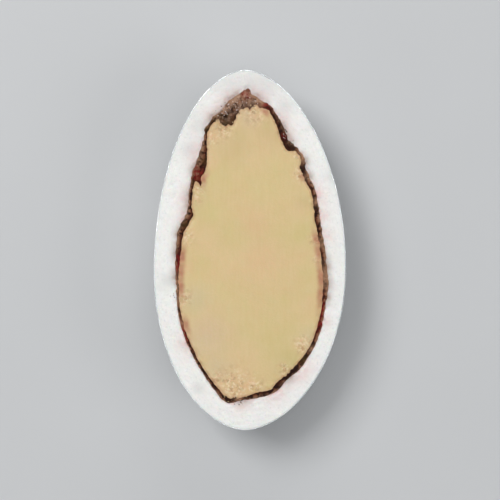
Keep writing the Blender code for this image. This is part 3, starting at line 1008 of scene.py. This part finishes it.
# counts, sizes and proportions, and x, y, radius in mm of the places where they lie
crumbKinds = {
    "skin_crumbs": {
        "slot": "skin",
        "seed": 70,
        "count": 170,
        "size": (0.02 * mm, 0.075 * mm),
        "squash": (1.0, 0.7, 0.4),
        "lift": 0.02 * mm,
        "places": (
            (-2.0, 11.2, 0.5), (-1.2, 12.0, 0.5), (-0.3, 12.7, 0.35), (-4.45, 6.3, 0.3), (3.2, 8.8, 0.3),
            (0.6, 12.3, 0.3), (-0.9, -12.7, 0.35), (-2.7, 10.9, 0.3), (2.9, 10.1, 0.35), (-6.2, -3.8, 0.3),
        ),
    },
    "sugar_grains": {
        "slot": "sugar",
        "seed": 71,
        "count": 60,
        "size": (0.02 * mm, 0.07 * mm),
        "squash": (1.0, 0.85, 0.7),
        "lift": 0.02 * mm,
        "places": (
            (-2.1, 11.5, 0.5), (-1.3, 12.1, 0.5), (-0.4, 12.6, 0.4), (0.5, 12.4, 0.25), (2.9, 9.6, 0.3),
        ),
    },
    "kernel_crumbs": {
        "slot": "kernel",
        "seed": 72,
        "count": 190,
        "size": (0.015 * mm, 0.055 * mm),
        "squash": (1.0, 0.8, 0.6),
        "lift": 0.0,
        "places": (
            (-1.3, -11.3, 1.0), (-2.4, 10.1, 0.6), (0.3, 11.4, 0.7), (4.6, -8.0, 0.25), (-5.5, -4.2, 0.5),
            (4.3, 6.3, 0.4), (-4.1, 5.0, 0.4), (5.4, 0.8, 0.4),
        ),
    },
}


def looseCrumbs(broken):
    # places drawn by their area, and crumbs round each by a normal spread of its radius
    for name, kind in crumbKinds.items():
        draw = np.random.default_rng(kind["seed"])
        count = kind["count"]
        places = np.array(kind["places"])
        chance = places[:, 2] ** 2 / np.sum(places[:, 2] ** 2)
        chosen = places[draw.choice(len(places), count, p=chance)]
        flat = (chosen[:, :2] + draw.normal(0, 0.6, (count, 2)) * chosen[:, 2:]) * mm
        sizes = draw.uniform(*kind["size"], count)
        height = cutZ + kind["lift"] - 0.4 * sizes
        redness = nearPlaces(flat, skin["places"]["redness"])
        # all three are drawn for every kind
        values = {
            "skin": {"redness": redness, "dustiness": draw.uniform(0, 1, count)},
            "sugar": {"pinkness": np.full(count, 0.6), "smudgeAndShadow": draw.uniform(0.2, 1, count)},
            "kernel": {"edge": np.full(count, 0.5), "blush": draw.uniform(0, 1, count)},
        }[kind["slot"]]
        material = broken[kind["slot"]].data.materials[0]
        crumbs(name, kind, np.column_stack((flat, height)), sizes, material, values)


# Floor, light and camera

room = {
    "floorReach": 2.0,  # metres from the middle to each side
    "floor": (0.60, 0.61, 0.62, 1),
    "floorDimmer": 0.96,
    "floorPatches": 30 * mm,
    "world": (0.12, 0.125, 0.13, 1),
    "lens": 100,
    "clip": (0.005, 10),  # nearest and furthest that the camera sees, in metres
    "fill": 0.72,  # share of the picture's height that the sweet takes
    # place, size and power of each soft light
    "lights": {
        "above": ((0.0, 0.02, 0.9), 1.0, 2.8),
        "key": ((-0.16, 0.14, 0.30), 0.16, 0.72),
        "fill": ((0.30, -0.10, 0.16), 0.20, 0.30),
        "back": ((0.05, 0.34, 0.12), 0.16, 0.22),
    },
}


def makeFloor():
    # a pale square under the sweet
    far = room["floorReach"]
    mesh = bpy.data.meshes.new("floor")
    corners = [(-far, -far, 0), (far, -far, 0), (far, far, 0), (-far, far, 0)]
    mesh.from_pydata(corners, [], [(0, 1, 2, 3)])
    floor = linked("floor", mesh)
    material, tree, shader, where = newMaterial("pale floor")
    dimmer = tuple(room["floorDimmer"] * c for c in room["floor"][:3]) + (1,)
    colour = blend(tree, patches(tree, where, room["floorPatches"], 0.0, 0.3), room["floor"], dimmer)
    tree.links.new(colour, shader.inputs["Base Color"])
    setShader(shader, Roughness=0.6)
    mesh.materials.append(material)


def areaLight(name, place, size, power):
    # a soft square light that faces the sweet
    light = bpy.data.lights.new(name, "AREA")
    light.size = size
    light.energy = power
    lamp = bpy.data.objects.new(name, light)
    lamp.location = place
    lamp.rotation_mode = "QUATERNION"
    lamp.rotation_quaternion = (Vector((0, 0, cutZ)) - Vector(place)).to_track_quat("-Z", "Y")
    bpy.context.scene.collection.objects.link(lamp)


def makeRoom():
    # the floor, an even grey world and the soft lights
    makeFloor()
    world = bpy.data.worlds.new("studio")
    world.use_nodes = True
    world.node_tree.nodes["Background"].inputs["Color"].default_value = room["world"]
    bpy.context.scene.world = world
    for name, (place, size, power) in room["lights"].items():
        areaLight(name, place, size, power)
    bpy.context.scene.view_settings.view_transform = "Standard"
    print("floor and", len(room["lights"]), "lights made")


def makeCamera():
    # straight above the cut face, with the pointed tip up in the picture
    # distance = length / share of the picture * lens / sensor
    data = bpy.data.cameras.new("camera")
    data.lens = room["lens"]
    camera = bpy.data.objects.new("camera", data)
    tall = sweet["tipY"] - sweet["bluntY"]
    distance = tall / room["fill"] * data.lens / data.sensor_width
    camera.location = (0, 0, cutZ + distance)
    data.clip_start, data.clip_end = room["clip"]
    bpy.context.scene.collection.objects.link(camera)
    bpy.context.scene.camera = camera
    print("camera set", round(distance, 3), "m above the cut")


makeRoom()
makeCamera()
silverCoat()
looseCrumbs({"sugar": sugarShell(), "skin": almondSkin(), "kernel": almondKernel()})
